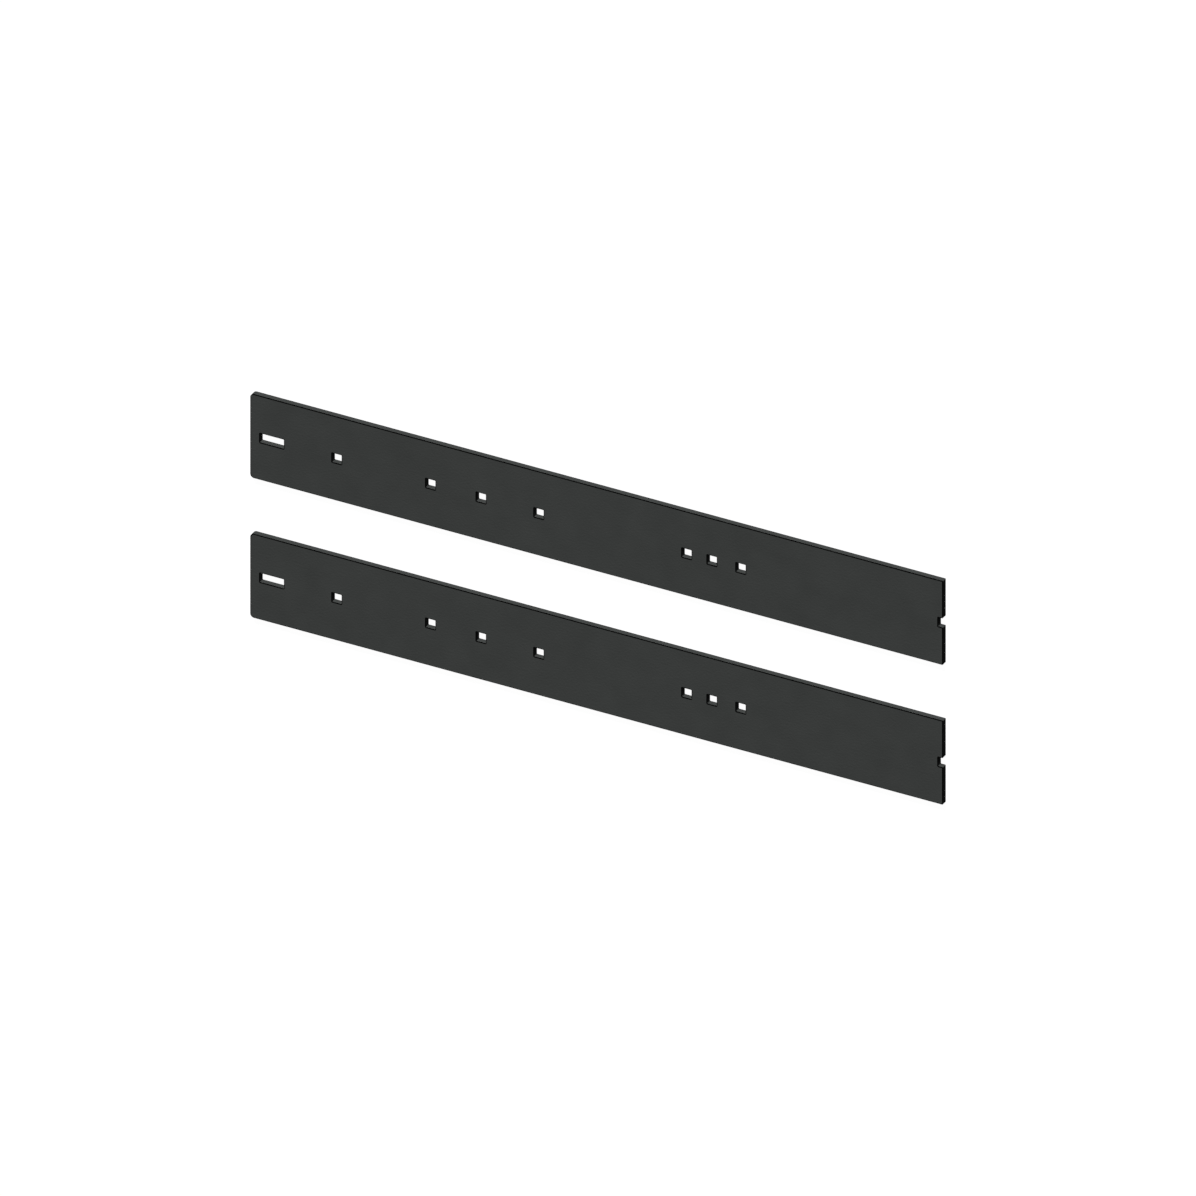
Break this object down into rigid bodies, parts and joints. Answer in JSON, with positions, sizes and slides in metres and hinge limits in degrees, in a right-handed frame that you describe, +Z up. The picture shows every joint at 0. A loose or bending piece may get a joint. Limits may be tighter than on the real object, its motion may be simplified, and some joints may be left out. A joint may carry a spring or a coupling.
{
  "type": "plow blade wear bars",
  "caption": "Flat steel wear bars for the lower edge of an ATV snow plow blade, with square bolt holes and a slot on the mid-line, rounded outer corners and a notched inner end.",
  "frame": {"origin": "on the ground, under the middle of the pair of bars lying flat side by side", "axes": "+X along the bars towards their notched inner ends, +Y across the bars from bar 2 to bar 1, +Z up, out of their front faces"},
  "size_m": [0.9144, 0.3048, 0.0079],
  "materials": {
    "powder_coat": "satin black powder coat on steel plate"
  },
  "bodies": {
    "wear_bar_1": {"wear_bar_1": "powder_coat"},
    "wear_bar_2": {"wear_bar_2": "powder_coat"}
  },
  "joints": [
    {"name": "wear_bar_2_lift", "type": "slide", "parent": "wear_bar_1", "child": "wear_bar_2", "axis": [0, 0, 1], "range_m": [0, 0.15]}
  ]
}
